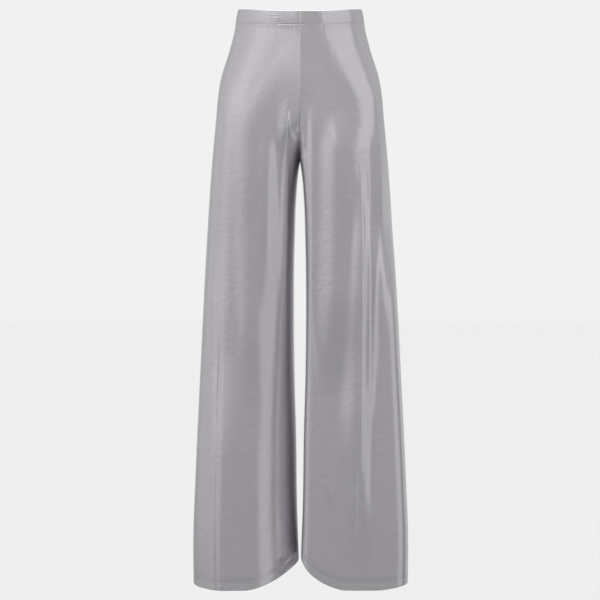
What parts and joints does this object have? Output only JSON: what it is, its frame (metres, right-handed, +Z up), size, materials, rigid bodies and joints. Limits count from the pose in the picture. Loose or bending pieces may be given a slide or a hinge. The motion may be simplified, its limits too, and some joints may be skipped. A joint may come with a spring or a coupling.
{
  "type": "wide straight-leg trousers",
  "caption": "High-waisted, wide straight-leg pull-on trousers in silvery jersey, hollow and open at waist and hems, standing out as if worn.",
  "frame": {"origin": "middle of the waist opening, level with the middle of the waistband at its sides, where the wearer holds the trousers up", "axes": "+Z up along the wearer's body, -Y towards the wearer's front, +X towards the wearer's left"},
  "size_m": [0.4098, 0.248, 1.11],
  "materials": {
    "cloth": "silver foil sheen, satin",
    "band_cloth": "silver foil sheen, satin"
  },
  "bodies": {
    "root": {"front_left_leg": "cloth", "front_right_leg": "cloth", "back_left_leg": "cloth", "back_right_leg": "cloth", "waistband_left": "band_cloth", "waistband_right": "band_cloth"}
  },
  "joints": []
}
